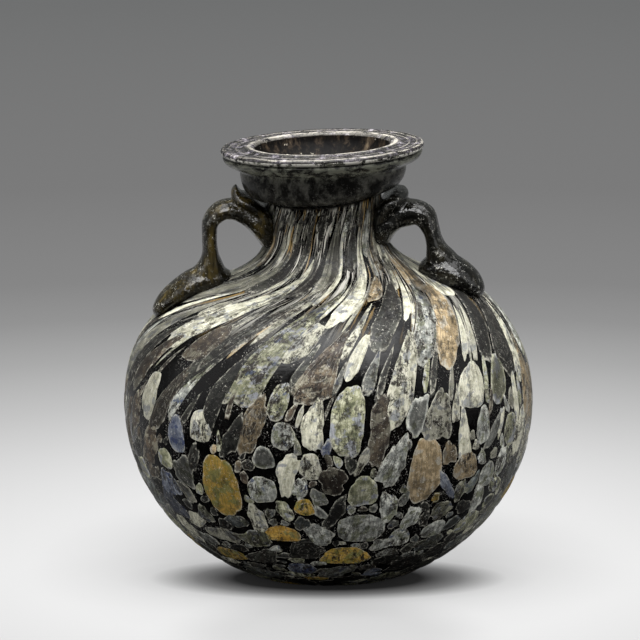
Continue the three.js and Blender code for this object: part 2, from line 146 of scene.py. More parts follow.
def worked(points):
    """What working the hot glass did to the true turned form."""
    x, y, z = np.array(points, float).T
    around = np.arctan2(x, -y) - DROOP_AZIMUTH
    below = smoothstep(z, BELLY_HEIGHT + NECK_RISE, COLLAR_BOTTOM)
    above = 1 - smoothstep(z, COLLAR_BOTTOM, COLLAR_TOP)
    z = z - COLLAR_DROOP * 0.5 * (1 + np.cos(around)) * below * above
    angle = -LEAN * smoothstep(z, LEAN_FROM, LEAN_TO)
    middle = (LEAN_FROM + LEAN_TO) / 2
    height = z - middle
    return np.stack([x * np.cos(angle) + height * np.sin(angle), y,
                     middle - x * np.sin(angle) + height * np.cos(angle)], axis=1)


def polar(radius, azimuth, height):
    """Points at azimuths in degrees, where 0 is the front and 90 is the right side."""
    a = np.radians(azimuth)
    return np.stack([radius * np.sin(a), -radius * np.cos(a), height + 0 * a], axis=-1)


# The folded rim: the bubble's mouth was bent out, down, up and in again, so a collar hangs
# under a disc whose lower layer tapers in to it. All of it is the same dark glass as the body.
COLLAR_RADIUS = 16.2
COLLAR_ROUND = 2.4
UNDER_COLLAR = 11.0
DISC_RADIUS = 19.75
FOLD_INSET = 0.35
FOLD_GROOVE = 0.5
LIP_RADIUS = 15.15
MOUTH_RADIUS = 13.2


def arc(corner, radius, start, end, steps=9):
    """Part of a circle as radius and height, by its centre and two angles in degrees."""
    a = np.radians(np.linspace(start, end, steps))
    return np.stack([corner[0] + radius * np.cos(a), corner[1] + radius * np.sin(a)], axis=1)


def rim_line():
    under = RIM_TOP - RIM_LAYER
    fold = DISC_RADIUS - FOLD_INSET
    layer = RIM_LAYER / 2
    taper = bezier((COLLAR_RADIUS, COLLAR_TOP), (COLLAR_RADIUS + 0.9, COLLAR_TOP + 0.15),
                   (fold - 0.2, under - 0.75 * RIM_UNDER_LAYER), (fold, under - 0.3), 16)
    return np.vstack([
        arc((UNDER_COLLAR + 1.0, COLLAR_BOTTOM - 1.6), 1.0, 180, 100, 6),
        arc((COLLAR_RADIUS - COLLAR_ROUND, COLLAR_BOTTOM + COLLAR_ROUND), COLLAR_ROUND, -90, -8, 12),
        [(COLLAR_RADIUS - 0.04, COLLAR_TOP - 0.5)],
        taper,
        [(fold - 0.12, under - 0.05), (fold - FOLD_GROOVE, under + 0.08),
         (fold - FOLD_GROOVE + 0.1, under + 0.22)],
        arc((DISC_RADIUS - layer * 0.8, RIM_TOP - layer * 0.95), layer * 0.8, -75, 62, 12),
        [(DISC_RADIUS - 0.9, RIM_TOP - 0.1), (DISC_RADIUS - 1.5, RIM_TOP - 0.22),
         (17.6, RIM_TOP - 0.3), (16.8, RIM_TOP - 0.26), (LIP_RADIUS + 0.55, RIM_TOP - 0.22)],
        arc((LIP_RADIUS - 0.1, RIM_TOP - 0.35), 0.4, 50, 100, 4),
        [(14.6, RIM_TOP + 0.02), (14.2, RIM_TOP)],
        arc((MOUTH_RADIUS + 0.7, RIM_TOP - 0.7), 0.7, 95, 180, 8),
    ])


def inside_line():
    bore = UNDER_COLLAR - WALL
    throat = bezier((MOUTH_RADIUS, RIM_TOP - 0.9), (MOUTH_RADIUS - 0.2, COLLAR_BOTTOM + 3.6),
                    (bore + 0.5, COLLAR_BOTTOM + 1.5), (bore, COLLAR_BOTTOM - COLLAR_ROUND), 20)
    inner = (bubble - bubble_normals * WALL)[::-3]
    inner = inner[inner[:, 1] > BASE_THICKNESS + WALL]
    last = inner[-1, 0]
    floor = bezier(inner[-1], (last * 0.86, BASE_THICKNESS + 0.3), (last * 0.5, BASE_THICKNESS),
                   (0, BASE_THICKNESS), 12)
    return np.vstack([throat[1:], inner, floor[1:]])


def new_object(name, vertices, faces, attributes=None):
    """A smooth mesh object from millimetre vertices, with float or vector vertex attributes."""
    mesh = bpy.data.meshes.new(name)
    mesh.from_pydata((np.asarray(vertices) * MM).tolist(), [], faces)
    for key, values in (attributes or {}).items():
        values = np.asarray(values, np.float32)
        kind, field = ("FLOAT_VECTOR", "vector") if values.ndim == 2 else ("FLOAT", "value")
        layer = mesh.attributes.new(key, kind, "POINT")
        layer.data.foreach_set(field, values.ravel())
    mesh.polygons.foreach_set("use_smooth", [True] * len(mesh.polygons))
    mesh.update()
    piece = bpy.data.objects.new(name, mesh)
    bpy.context.collection.objects.link(piece)
    return piece


def flow_of(azimuth, along):
    """Coordinates that follow the drawn glass: two run round, and the third runs up the meridian."""
    straight = np.radians(azimuth - twist_at(along) - swept_at(azimuth, along))
    return np.stack([np.sin(straight), np.cos(straight), np.asarray(along) + 0 * straight], axis=-1)


COLLAR_EDGE_POINTS = 8
base_edge = bezier((BASE_RADIUS - BASE_ROUNDING, 0), (BASE_RADIUS - 0.3, 0), (BASE_RADIUS + 0.15, 0.2),
                   bubble[3], 8)
rim = rim_line()
inside = inside_line()
outer_line = np.vstack([[(BASE_RADIUS * 0.5, 0)], base_edge, bubble[4:]])
shell = np.vstack([outer_line, rim, inside[:-1]])
outer_count = len(outer_line)
rim_top_from = outer_count + int(np.argmax(rim[:, 1] > RIM_TOP - 0.45))
inside_from = outer_count + len(rim)
shell_along = np.zeros(len(shell))
shell_along[:outer_count] = np.interp(outer_line[:, 1], bubble[:, 1], bubble_along)
rise_on = np.r_[0, np.cumsum(np.linalg.norm(np.diff(rim[:COLLAR_EDGE_POINTS], axis=0), axis=1))]
collar_edge_to = outer_count + COLLAR_EDGE_POINTS
shell_along[outer_count:collar_edge_to] = meridian_length + NECK_LENGTH + rise_on
shell_along[collar_edge_to:inside_from] = meridian_length + NECK_LENGTH + rise_on[-1]
shell_along[inside_from:] = np.interp(shell[inside_from:, 1], bubble[:, 1], bubble_along)

around = np.arange(SEGMENTS) * 360 / SEGMENTS
ring_radius = np.repeat(shell[:, 0], SEGMENTS)
ring_height = np.repeat(shell[:, 1], SEGMENTS)
ring_around = np.tile(around, len(shell))
ring_along = np.repeat(shell_along, SEGMENTS)
body_points = polar(ring_radius, ring_around, ring_height)
body_points = np.vstack([body_points, [(0, 0, 0), (0, 0, BASE_THICKNESS)]])
body_faces = []
for row in range(len(shell) - 1):
    first = row * SEGMENTS
    for k in range(SEGMENTS):
        after = (k + 1) % SEGMENTS
        body_faces.append((first + k, first + after, first + SEGMENTS + after, first + SEGMENTS + k))
last_row = (len(shell) - 1) * SEGMENTS
for k in range(SEGMENTS):
    after = (k + 1) % SEGMENTS
    body_faces.append((len(body_points) - 2, after, k))
    body_faces.append((len(body_points) - 1, last_row + k, last_row + after))
body = new_object("glass_body", worked(body_points), body_faces, {
    "flow": np.vstack([flow_of(ring_around, ring_along), [(0, 0, 0), (0, 0, 0)]]),
    "reach": np.r_[ring_radius, 0, 0],
    "rise": np.r_[ring_height, 0, BASE_THICKNESS],
})


def linear(colour):
    """An sRGB hex colour as linear RGBA."""
    parts = [int(colour[i:i + 2], 16) / 255 for i in (1, 3, 5)]
    return [c / 12.92 if c <= 0.04045 else ((c + 0.055) / 1.055) ** 2.4 for c in parts] + [1.0]


def node(tree, kind, settings=None, links=None):
    """Adds a node, sets its properties or unlinked inputs, and links its other inputs."""
    made = tree.nodes.new(kind)
    for key, value in (settings or {}).items():
        if isinstance(key, str) and hasattr(made, key) and key not in made.inputs:
            setattr(made, key, value)
        else:
            made.inputs[key].default_value = value
    for key, source in (links or {}).items():
        tree.links.new(source, made.inputs[key])
    return made


def new_material(name):
    material = bpy.data.materials.new(name)
    material.use_nodes = True
    material.node_tree.nodes.clear()
    return material, material.node_tree


def ramp(tree, factor, stops, smooth=True):
    """A colour ramp: stops are (place, hex colour or grey value)."""
    made = node(tree, "ShaderNodeValToRGB", links={"Fac": factor})
    made.color_ramp.interpolation = "EASE" if smooth else "LINEAR"
    points = made.color_ramp.elements
    while len(points) < len(stops):
        points.new(0.5)
    for point, (place, colour) in zip(points, stops):
        point.position = place
        point.color = linear(colour) if isinstance(colour, str) else (colour, colour, colour, 1)
    return made.outputs["Color"]


def mix(tree, factor, first, second, blend="MIX"):
    """Mixes two colours; each may be a hex colour or an output."""
    made = node(tree, "ShaderNodeMix", {"data_type": "RGBA", "blend_type": blend})
    for index, value in ((0, factor), (6, first), (7, second)):
        if isinstance(value, bpy.types.NodeSocket):
            tree.links.new(value, made.inputs[index])
        else:
            made.inputs[index].default_value = linear(value) if isinstance(value, str) else value
    return made.outputs[2]


def maths(tree, operation, first, second=0.0, clamp=False):
    made = node(tree, "ShaderNodeMath", {"operation": operation, "use_clamp": clamp})
    for index, value in ((0, first), (1, second)):
        if isinstance(value, bpy.types.NodeSocket):
            tree.links.new(value, made.inputs[index])
        else:
            made.inputs[index].default_value = value
    return made.outputs[0]


def times(tree, first, second):
    return maths(tree, "MULTIPLY", first, second)


def object_place(tree):
    return node(tree, "ShaderNodeTexCoord").outputs["Object"]


def attribute(tree, name, output="Fac"):
    return node(tree, "ShaderNodeAttribute", {"attribute_name": name}).outputs[output]


def between(tree, value, low, high, start=0.0, end=1.0):
    """Goes from `start` to `end` as `value` goes from `low` to `high`, and no further."""
    limits = {"From Min": low, "From Max": high, "To Min": start, "To Max": end}
    return node(tree, "ShaderNodeMapRange", limits, {"Value": value}).outputs["Result"]


def scaled_vector(tree, vector, factors):
    settings = {"operation": "MULTIPLY", 1: factors}
    return node(tree, "ShaderNodeVectorMath", settings, {0: vector}).outputs[0]


def noise(tree, vector, scale, detail, rough):
    settings = {"Scale": scale, "Detail": detail, "Roughness": rough}
    return node(tree, "ShaderNodeTexNoise", settings, {"Vector": vector}).outputs["Fac"]


def grain(tree, vector, size, detail=4.0, rough=0.6, unit=MM):
    """Noise whose lumps are about `size` millimetres across."""
    return noise(tree, vector, 1 / (size * unit), detail, rough)


# The drawn glass has threads about 0.5 mm apart at the neck, which spread out on the shoulder
THREAD = 0.5
THREAD_LENGTH = 14.0


def threads(tree, flow, spacing=THREAD, length=THREAD_LENGTH):
    """Fine lines along the drawn glass: noise squeezed round the neck and stretched along it."""
    round_scale = NECK_RADIUS / spacing
    return noise(tree, scaled_vector(tree, flow, (round_scale, round_scale, 1 / length)), 1.0, 5.0, 0.62)


GLASS_IOR = 1.5


def finish_glass(tree, colour, roughness, height, bump, specular):
    """The glass shader with its output, and bump from a height whose full step is `bump` mm."""
    made = node(tree, "ShaderNodeBump", {"Strength": 1.0, "Distance": bump * MM}, {"Height": height})
    shader = node(tree, "ShaderNodeBsdfPrincipled", {"IOR": GLASS_IOR, "Specular IOR Level": specular},
                  {"Base Color": colour, "Normal": made.outputs["Normal"]})
    if isinstance(roughness, bpy.types.NodeSocket):
        tree.links.new(roughness, shader.inputs["Roughness"])
    else:
        shader.inputs["Roughness"].default_value = roughness
    node(tree, "ShaderNodeOutputMaterial", links={"Surface": shader.outputs["BSDF"]})


# Weathered dark glass, nearly black, with a purple-brown cast. Burial has left pale dust of
# 0.1 to 0.3 mm in its pits and a thin grey film, so it shines but not like new glass. Drawn
# pale threads fill it at the neck, and the folded collar is smeared with grey along the fold.
def dark_glass():
    material, tree = new_material("weathered_dark_glass")
    place = object_place(tree)
    flow = attribute(tree, "flow", "Vector")
    rise = attribute(tree, "rise")
    clouds = grain(tree, place, 6.0, 3.0)
    ground = ramp(tree, clouds, [(0.3, "#000000"), (0.55, "#040303"), (0.8, "#0E0A09")])
    film = grain(tree, place, 2.2, 6.0, 0.7)
    ground = mix(tree, ramp(tree, film, [(0.62, 0.0), (0.88, 0.3)]), ground, "#3B3735")
    dust_zone = ramp(tree, grain(tree, place, 5.0, 2.0), [(0.46, 0.0), (0.62, 1.0)])
    dust = ramp(tree, grain(tree, place, 0.4, 4.0, 0.8), [(0.58, 0.0), (0.66, 1.0)])
    dust = times(tree, dust, dust_zone)
    less_on_collar = between(tree, rise, COLLAR_BOTTOM - 3.5, COLLAR_BOTTOM, 0.85, 0.2)
    ground = mix(tree, times(tree, dust, less_on_collar), ground, "#CFCBC2")
    pale = ramp(tree, threads(tree, flow), [(0.5, 0.0), (0.55, 1.0)])
    pale = times(tree, pale, between(tree, rise, BELLY_HEIGHT + 17, BELLY_HEIGHT + 30))
    pale = times(tree, pale, between(tree, rise, COLLAR_BOTTOM - 1.2, COLLAR_BOTTOM - 2.0))
    thread_colour = ramp(tree, threads(tree, flow, 2.6, 30.0), [
        (0.3, "#6B6760"), (0.44, "#DAD7CC"), (0.54, "#8E8C84"), (0.63, "#A78A56")])
    ground = mix(tree, times(tree, pale, 0.9), ground, thread_colour)
    folded = between(tree, rise, COLLAR_BOTTOM - 0.6, COLLAR_BOTTOM + 0.6)
    upper = between(tree, rise, COLLAR_TOP - 0.9, COLLAR_TOP + 0.6)
    up_fold = node(tree, "ShaderNodeCombineXYZ", links={"Z": times(tree, rise, 0.16)}).outputs[0]
    round_rim = scaled_vector(tree, flow, (1.0, 1.0, 0.0))
    fold_place = node(tree, "ShaderNodeVectorMath", {"operation": "ADD"}, {0: round_rim, 1: up_fold})
    smear = noise(tree, fold_place.outputs[0], 5.0, 7.0, 0.72)
    film_below = times(tree, ramp(tree, smear, [(0.44, 0.05), (0.68, 0.75)]), folded)
    ground = mix(tree, film_below, ground, "#5C5B55")
    film_above = times(tree, ramp(tree, smear, [(0.44, 0.0), (0.58, 0.85)]), upper)
    ground = mix(tree, film_above, ground, "#67685D")
    # A pale band on the disc's outer edge: partly wear, partly a painted highlight along the arris
    worn_and_highlight = ramp(tree, grain(tree, place, 2.0, 6.0, 0.8), [(0.47, 0.0), (0.52, 1.0)])
    worn_and_highlight = times(tree, worn_and_highlight, between(tree, rise, RIM_TOP - 1.7, RIM_TOP - 0.7))
    ground = mix(tree, worn_and_highlight, ground, "#D6D3CA")
    rough = ramp(tree, film, [(0.35, 0.13), (0.75, 0.38)])
    rough = mix(tree, dust, rough, (0.75, 0.75, 0.75, 1))
    lumps = maths(tree, "ADD", times(tree, film, 0.5), maths(tree, "ADD", dust, smear))
    finish_glass(tree, ground, rough, lumps, 0.06, 0.17)
    return material


# The disc of the rim: the same glass, but seen from its folded edge, so the layers show as
# pale rings round the mouth and at the outer edge, over a purple-grey weathered face. The
# rings are a millimetre or less wide, broken by wear, and faint on the left.
RINGS_FROM = 12.6
RINGS_TO = 20.2
RING_STOPS = [(13.1, 0.2), (13.7, 0.3), (13.95, 1.0), (14.4, 0.9), (14.7, 0.15), (15.3, 0.04),
              (16.5, 0.02), (16.75, 0.6), (17.0, 0.02), (17.9, 0.03), (18.2, 0.6), (18.4, 0.03),
              (19.0, 0.05), (19.35, 0.7), (19.6, 0.05)]
RING_WANDER = 1.3


def rim_glass():
    material, tree = new_material("folded_rim_glass")
    place = object_place(tree)
    wander = times(tree, maths(tree, "SUBTRACT", grain(tree, place, 9.0, 3.0), 0.5), RING_WANDER)
    radius = maths(tree, "ADD", attribute(tree, "reach"), wander)
    rings = ramp(tree, between(tree, radius, RINGS_FROM, RINGS_TO),
                 [((at - RINGS_FROM) / (RINGS_TO - RINGS_FROM), pale) for at, pale in RING_STOPS])
    broken = ramp(tree, grain(tree, place, 2.2, 6.0, 0.75), [(0.4, 0.0), (0.52, 1.0)])
    side = node(tree, "ShaderNodeSeparateXYZ", links={0: place}).outputs["X"]
    rings = times(tree, times(tree, rings, broken), between(tree, side, -19 * MM, -10 * MM, 0.25))
    ground = ramp(tree, grain(tree, place, 1.8, 7.0, 0.75), [
        (0.38, "#08070A"), (0.5, "#1D1A20"), (0.58, "#4D4950"), (0.66, "#A09BA1")])
    stains = ramp(tree, grain(tree, place, 3.6, 4.0, 0.6), [(0.42, 0.25), (0.6, 1.25)])
    ground = mix(tree, 1.0, ground, stains, "MULTIPLY")
    dust = ramp(tree, grain(tree, place, 0.4, 3.0, 0.8), [(0.6, 0.0), (0.68, 1.0)])
    ground = mix(tree, times(tree, dust, 0.7), ground, "#CFC9C0")
    colour = mix(tree, rings, ground, "#CFC9BC")
    lumps = maths(tree, "ADD", grain(tree, place, 0.9, 5.0), dust)
    finish_glass(tree, colour, ramp(tree, lumps, [(0.4, 0.25), (1.2, 0.6)]), lumps, 0.08, 0.25)
    return material


# Inside, the neck is brown and matt with earth left by burial, and has a few pale spots. Its near-black
# ground is partly that earth and partly painted shade of the hollow within the mouth.
def inside_glass():
    material, tree = new_material("earthy_and_shaded_glass_inside")
    place = object_place(tree)
    patches = grain(tree, scaled_vector(tree, place, (1.0, 1.0, 0.4)), 2.6, 6.0, 0.75)
    ground = ramp(tree, patches, [
        (0.42, "#030202"), (0.5, "#110E0B"), (0.57, "#352C23"), (0.69, "#6B5E4C")])
    spots = ramp(tree, grain(tree, place, 1.3, 4.0, 0.7), [(0.65, 0.0), (0.68, 1.0)])
    finish_glass(tree, mix(tree, spots, ground, "#B9B2A2"), 0.6, patches, 0.15, 0.12)
    return material


for material in (dark_glass(), rim_glass(), inside_glass()):
    body.data.materials.append(material)
rows = np.repeat(np.arange(len(shell) - 1), SEGMENTS)
slots = np.zeros(len(body.data.polygons), int)
slots[:len(rows)] = np.where(rows >= inside_from - 2, 2, np.where(rows >= rim_top_from - 3, 1, 0))
slots[len(rows) + 1::2] = 2
body.data.polygons.foreach_set("material_index", slots)
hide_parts("body")
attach(body, "root")


# The chips: crushed opaque glass, picked up by the gather and rolled flush with it, then
# stretched with the bubble. They are round low on the belly and long near the neck. The
# frame holds the large ones, so their places are read back from it.
LINE_STEPS = np.linspace(0, len(bubble) - 1, 1200)
LINE_INDEX = np.arange(len(bubble))
FINE_LINE = np.stack([np.interp(LINE_STEPS, LINE_INDEX, bubble[:, i]) for i in (0, 1)], axis=1)
FINE_ALONG = np.interp(LINE_STEPS, LINE_INDEX, bubble_along)
NECK_ABOVE = NECK_LENGTH - 1.6


def unworked(points):
    """Takes the lean out again, so that frame vertices can be read as turned glass."""
    target = np.array(points, float)
    guess = target.copy()
    for _ in range(12):
        guess += target - worked(guess)
    return guess


def on_meridian(along):
    """Radius, height and outward normal at distances up the meridian, and on up the neck."""
    along = np.asarray(along, float)
    keep = np.clip(along, bubble_along[0], meridian_length)
    place = np.stack([np.interp(keep, bubble_along, bubble[:, i]) for i in (0, 1)], axis=-1)
    normal = np.stack([np.interp(keep, bubble_along, bubble_normals[:, i]) for i in (0, 1)], axis=-1)
    beyond = np.clip(along - meridian_length, 0, NECK_ABOVE)
    place[..., 1] += beyond
    place[..., 0] -= beyond / NECK_ABOVE * (NECK_RADIUS - UNDER_COLLAR)
    return place, normal


def read_chip(name):
    """A frame chip's colour, middle, half length and half width in the drawn glass."""
    vertices = unworked([tuple(v.co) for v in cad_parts[name].data.vertices] * np.array(1000.0))
    radius = np.hypot(vertices[:, 0], vertices[:, 1])
    azimuth = np.degrees(np.arctan2(vertices[:, 0], -vertices[:, 1]))
    aside = FINE_LINE[:, 0] - radius[:, None]
    above = FINE_LINE[:, 1] - vertices[:, 2, None]
    nearest = np.argmin(aside ** 2 + above ** 2, axis=1)
    along = FINE_ALONG[nearest]
    straight = azimuth - twist_at(along)
    straight = straight[0] + (straight - straight[0] + 180) % 360 - 180
    middle = (along.max() + along.min()) / 2
    return {
        "glass": name.split("_")[0], "along": middle, "straight": (straight.max() + straight.min()) / 2,
        "long": (along.max() - along.min()) / 2,
        "wide": np.radians(straight.max() - straight.min()) / 2 * on_meridian(middle)[0][0],
        "square": 2.4, "taper": 0.18, "lean": 0.0, "wander": 0.9, "swept": 0.0,
    }


chip_nodes = sorted(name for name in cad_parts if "_chip_" in name)
chips = [read_chip(name) for name in chip_nodes]

# Between the large chips lie hundreds of smaller ones, packed by chance. Sizes and colours
# change from the base to the neck; the places are drawn with a fixed seed.
CELL_ALONG = 0.35
CELL_AROUND = 0.5
LARGE_MARGIN = 0.25
SMALL_MARGIN = 0.04
chance = np.random.default_rng(11)
top_along = meridian_length + NECK_ABOVE
taken = np.zeros((int(top_along / CELL_ALONG) + 2, int(360 / CELL_AROUND)), bool)


def footprint(chip, margin):
    """Grid cells that a chip covers, as row and column lists."""
    radius = on_meridian(chip["along"])[0][0]
    half_long = chip["long"] + margin
    half_wide = np.degrees((chip["wide"] + margin) / radius)
    low = max(int((chip["along"] - half_long) / CELL_ALONG), 0)
    high = min(int((chip["along"] + half_long) / CELL_ALONG) + 1, taken.shape[0] - 1)
    rows_here = np.arange(low, high + 1)
    left = int(math.floor((chip["straight"] - half_wide) / CELL_AROUND))
    right = int(math.ceil((chip["straight"] + half_wide) / CELL_AROUND))
    columns = np.arange(left, right + 1)
    up = (rows_here[:, None] * CELL_ALONG - chip["along"]) / half_long
    side = (columns[None] * CELL_AROUND - chip["straight"]) / half_wide
    inside_chip = np.abs(up) ** 2.3 + np.abs(side) ** 2.3 < 1
    r, c = np.nonzero(inside_chip)
    return rows_here[r], columns[c] % taken.shape[1]


for chip in chips:
    taken[footprint(chip, LARGE_MARGIN)] = True

# Share up the meridian, typical half length and half width in mm
SIZES = np.array([
    (0.16, 2.0, 3.8), (0.28, 2.5, 3.5), (0.38, 3.0, 3.0), (0.47, 3.5, 2.7), (0.55, 4.8, 2.3),
    (0.65, 8.2, 2.6), (0.76, 11.5, 2.5), (0.86, 12.0, 1.9), (0.95, 8.5, 1.0), (1.05, 6.0, 0.5),
])
# How the colours share the chips low down, in the middle, high up, and in the dark patch of
# brown chips on the left shoulder
LOW = {"grey": 0.28, "green": 0.22, "smoke": 0.19, "slate": 0.13, "cream": 0.1, "brown": 0.04,
       "ochre": 0.04, "blue": 0.05}
MIDDLE = {"cream": 0.4, "grey": 0.14, "green": 0.1, "tan": 0.07, "brown": 0.1, "smoke": 0.17,
          "blue": 0.02}
HIGH = {"cream": 0.52, "grey": 0.1, "tan": 0.1, "smoke": 0.24, "green": 0.05}
SHADED = {"brown": 0.55, "smoke": 0.25, "tan": 0.1, "green": 0.1}
LOW_TO = 0.5
MIDDLE_TO = 0.82
DRAWN_FROM = 0.5
DRAWN_TO = 0.72
SHADED_HALF = 38
SHADED_FROM = 0.46
SHADED_TO = 0.7
# A strip on the shoulder where the dark glass lies nearly bare
BARE_STRAIGHT = 15.0
BARE_HALF = 6.0
BARE_FROM = 0.62
BARE_TO = 0.86
# Chips are laid in passes, from large to small: scale and number of tries
PASSES = [(1.1, 900), (0.88, 1600), (0.7, 3000), (0.55, 5000), (0.42, 7000), (0.28, 7000)]
CLEAR_OF_BASE = 1.2
MOST_OVERLAP = 0.13


def off_centre(straight, centre):
    """Degrees from a centre line, between -180 and 180."""
    return (straight - centre + 180) % 360 - 180


lowest_row = int((bubble_along[0] + CLEAR_OF_BASE) / CELL_ALONG)
for scale, tries in PASSES:
    free = np.argwhere(~taken[lowest_row:])
    free[:, 0] += lowest_row
    for row, column in free[chance.permutation(len(free))[:tries]]:
        along = row * CELL_ALONG
        radius = on_meridian(along)[0][0]
        keep, stretch, width, pick, square, narrow = chance.random(6)
        lean = chance.normal()
        if taken[row, column] or keep > radius / BODY_RADIUS + 0.1:
            continue
        share = along / meridian_length
        drawn = smoothstep(share, DRAWN_FROM, DRAWN_TO)
        half_long, half_wide = (np.interp(share, SIZES[:, 0], SIZES[:, i]) for i in (1, 2))
        half_long = half_long * scale ** (1 - 0.6 * drawn) * (0.65 + 0.7 * stretch)
        half_wide = half_wide * scale ** (1 + 0.3 * drawn) * (0.65 + 0.7 * width)
        half_long = min(half_long, along - bubble_along[0] - 0.4, top_along - along - 0.2)
        if half_long < 0.5 or (drawn < 0.3 and half_wide < 0.7):
            continue
        chip = {
            "along": along, "straight": column * CELL_AROUND, "long": half_long, "wide": half_wide,
            "square": 1.7 + 0.9 * square, "taper": -0.2 + 0.6 * narrow + 0.4 * drawn,
            "lean": 0.3 * lean * (1 - drawn), "wander": 2.2 - drawn, "swept": 1.0,
        }
        if taken[footprint(chip, 0.0)].mean() > MOST_OVERLAP:
            continue
        blurred = share + 0.03 * lean
        table = LOW if blurred < LOW_TO else MIDDLE if blurred < MIDDLE_TO else HIGH
        aside = off_centre(chip["straight"] + twist_at(along), SWEEP_AZIMUTH)
        if abs(aside) < SHADED_HALF and SHADED_FROM < share < SHADED_TO and keep < 0.75:
            table = SHADED
        bare = off_centre(chip["straight"], BARE_STRAIGHT)
        if abs(bare) < BARE_HALF and BARE_FROM < share < BARE_TO and keep > 0.15:
            continue
        limits = np.cumsum(list(table.values()))
        chip["glass"] = list(table)[int(np.searchsorted(limits, pick * limits[-1]))]
        taken[footprint(chip, SMALL_MARGIN)] = True
        chips.append(chip)

# Each chip is a low lens: level with the wall at its edge, its crown 0.05 to 0.16 mm higher,
# and a skirt sunk in the wall. Rings of faces a step apart follow the hollow curve between
# shoulder and neck. The outline wanders as broken and melted glass does.
EDGE_RINGS = [0.76, 0.9, 0.97, 1.0]
RING_STEP = 1.6
HIGHEST_CROWN = 0.16
WOBBLE_SIZES = (0.05, 0.05, 0.035, 0.02, 0.015)
WOBBLE_TURNS = (2, 3, 5, 8, 13)
EDGE_SUNK = -0.35
SUNK = -0.45
FACET = 0.5
LARGE_TONE = 0.33
LARGE_TONE_RANGE = 0.36


def chip_mesh(chip, start):
    """Vertices, faces and attributes of one chip, with its faces numbered from `start`."""
    radius = on_meridian(chip["along"])[0][0]
    inner = max(int(math.ceil(EDGE_RINGS[0] * chip["long"] / RING_STEP)), 2)
    rings = np.r_[np.linspace(0, EDGE_RINGS[0], inner + 1), EDGE_RINGS[1:], 1.0]
    crowns = 1 - rings ** 4
    crowns[-2] = EDGE_SUNK
    outline = 2 * math.pi * math.hypot(chip["long"], chip["wide"]) / math.sqrt(2)
    count = int(np.clip(outline / FACET, 12, 80))
    phases = chance.random(6) * 2 * math.pi
    seed, tone = chance.random(2)
    if not chip["swept"]:
        tone = LARGE_TONE + LARGE_TONE_RANGE * tone
    a = np.arange(count) * 2 * math.pi / count
    up, side = (np.sign(v) * np.abs(v) ** (2 / chip["square"]) for v in (np.cos(a), np.sin(a)))
    wobble = sum(size * np.sin(turns * a + phase) for size, turns, phase in
                 zip(WOBBLE_SIZES, WOBBLE_TURNS, phases))
    wobble = 1 + chip["wander"] * wobble
    crown = min(0.05 + 0.035 * chip["wide"], HIGHEST_CROWN)
    ups = np.r_[0, np.outer(rings[1:], up * wobble).ravel()]
    sides = np.r_[0, np.outer(rings[1:], side * wobble).ravel()]
    edge = np.r_[0, np.repeat(rings[1:], count)]
    lift = np.r_[crown, np.repeat(crowns[1:] * crown, count)]
    lift[-count:] = SUNK
    along = np.clip(chip["along"] + chip["long"] * ups, bubble_along[0] + 0.1, top_along)
    across = chip["wide"] * sides * (1 - chip["taper"] * ups) + chip["lean"] * chip["long"] * ups
    azimuth = chip["straight"] + np.degrees(across / radius) + twist_at(along)
    middle = chip["straight"] + twist_at(chip["along"])
    azimuth += chip["swept"] * (swept_at(middle, along) - swept_at(middle, chip["along"]))
    line, normal = on_meridian(along)
    surface = line + normal * lift[:, None]
    points = worked(polar(surface[:, 0], azimuth, surface[:, 1]))
    faces = []
    nxt = (np.arange(count) + 1) % count
    for k in range(count):
        faces.append((start, start + 1 + nxt[k], start + 1 + k))
    for ring in range(len(rings) - 2):
        first = start + 1 + ring * count
        for k in range(count):
            faces.append((first + k, first + nxt[k], first + count + nxt[k], first + count + k))
    local = np.stack([ups * chip["long"], sides * chip["wide"], np.full(len(ups), seed * 40)], axis=1)
    return points, faces, {
        "rim": (1 - edge) * chip["wide"], "seed": np.full(len(points), seed),
        "tone": np.full(len(points), tone), "local": local, "flow": flow_of(azimuth, along),
    }


# Opaque glass in ten colours, each clouded with the colours that lay next to it in the melt.
# Its face is etched: pits of about 0.4 mm hold dark earth, grime fills hollows of a
# millimetre, and a thin pale line stands where the chip met the hot wall. Low chips are
# etched all over, and of the others only some, in patches.
GLASS_COLOURS = {
    "cream": ("#C4C2AD", "#8B8974", "#DAD7C4", "#888B8E", 0.8),
    "grey": ("#989A93", "#5A5D5A", "#D3D4CA", "#74775C", 0.9),
    "green": ("#8F9070", "#595C47", "#CDCCB0", "#A2A5AE", 0.9),
    "tan": ("#93805F", "#675A44", "#BBA682", "#A8A293", 0.75),
    "ochre": ("#A98A2F", "#7C7433", "#C9A146", "#85854A", 0.65),
    "amber": ("#B58C33", "#8C6C26", "#CCA650", "#7F7A46", 0.5),
    "brown": ("#3A3027", "#1F1812", "#665A49", "#85806F", 0.9),
    "blue": ("#656B78", "#353E55", "#8E939C", "#2F3C63", 0.7),
    "slate": ("#484E50", "#26292B", "#7C827F", "#6A6C58", 0.8),
    "smoke": ("#151512", "#090908", "#2B2B26", "#41423A", 0.5),
}
# Some of these are clear enough to look black in the middle, and some hold cobalt patches
CLEARER = ("grey", "green", "slate", "smoke")
PATCHED = ("grey", "green")


